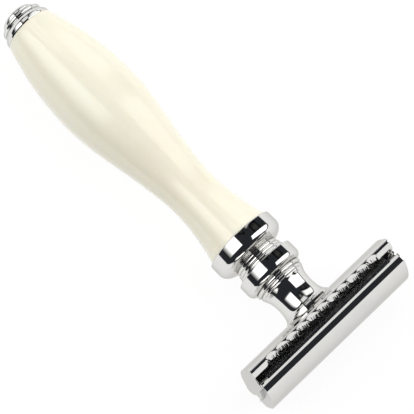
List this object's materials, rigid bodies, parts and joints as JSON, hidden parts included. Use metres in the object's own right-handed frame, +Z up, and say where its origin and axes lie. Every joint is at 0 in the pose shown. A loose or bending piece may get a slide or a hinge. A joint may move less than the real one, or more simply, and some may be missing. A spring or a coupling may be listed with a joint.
{
  "type": "double-edge safety razor",
  "caption": "Three-piece double-edge safety razor with an ivory resin grip, chromed collars and a scalloped closed-comb head that unscrews to release the blade.",
  "frame": {"origin": "middle of the bounding box's underside, on the surface that the razor lies on", "axes": "+X from the pommel towards the head, along the handle as it lies; +Y along the cutting edges; +Z up, across the head from one edge to the other"},
  "size_m": [0.1068, 0.043, 0.0255],
  "materials": {
    "chrome": "polished chrome plate",
    "ivory_resin": "polished cast resin",
    "blade_steel": "ground stainless strip with honed edges",
    "stud_steel": "machined steel",
    "brass": "machined brass"
  },
  "bodies": {
    "head_cap": {"top_cap": "chrome", "threaded_stud": "stud_steel", "post_left": "chrome", "post_right": "chrome"},
    "blade": {"blade": "blade_steel"},
    "base_plate": {"base_plate": "chrome"},
    "handle": {"neck": "chrome", "thread_insert": "brass", "upper_collar": "chrome", "bead_ring_1": "chrome", "bead_ring_2": "chrome", "bead_ring_3": "chrome", "lower_collar": "chrome", "grip": "ivory_resin", "tie_rod": "stud_steel", "pommel_ring": "chrome", "pommel_cap": "chrome"}
  },
  "joints": [
    {"name": "plate_slide", "type": "slide", "parent": "head_cap", "child": "base_plate", "axis": [-0.9992, 0, -0.0391], "range_m": [0, 0.006]},
    {"name": "handle_unscrew", "type": "hinge", "parent": "base_plate", "child": "handle", "pos_m": [0.04284, 0, 0.01265], "axis": [-0.9992, 0, -0.0391], "range_deg": [0, 2700]},
    {"name": "blade_slide", "type": "slide", "parent": "head_cap", "child": "blade", "axis": [-0.9992, 0, -0.0391], "range_m": [0, 0.003]}
  ],
  "couplings": [
    {"joint": "handle_unscrew", "follows": "plate_slide", "rad_per_m": 7854},
    {"joint": "blade_slide", "follows": "plate_slide", "ratio": 0.5}
  ]
}
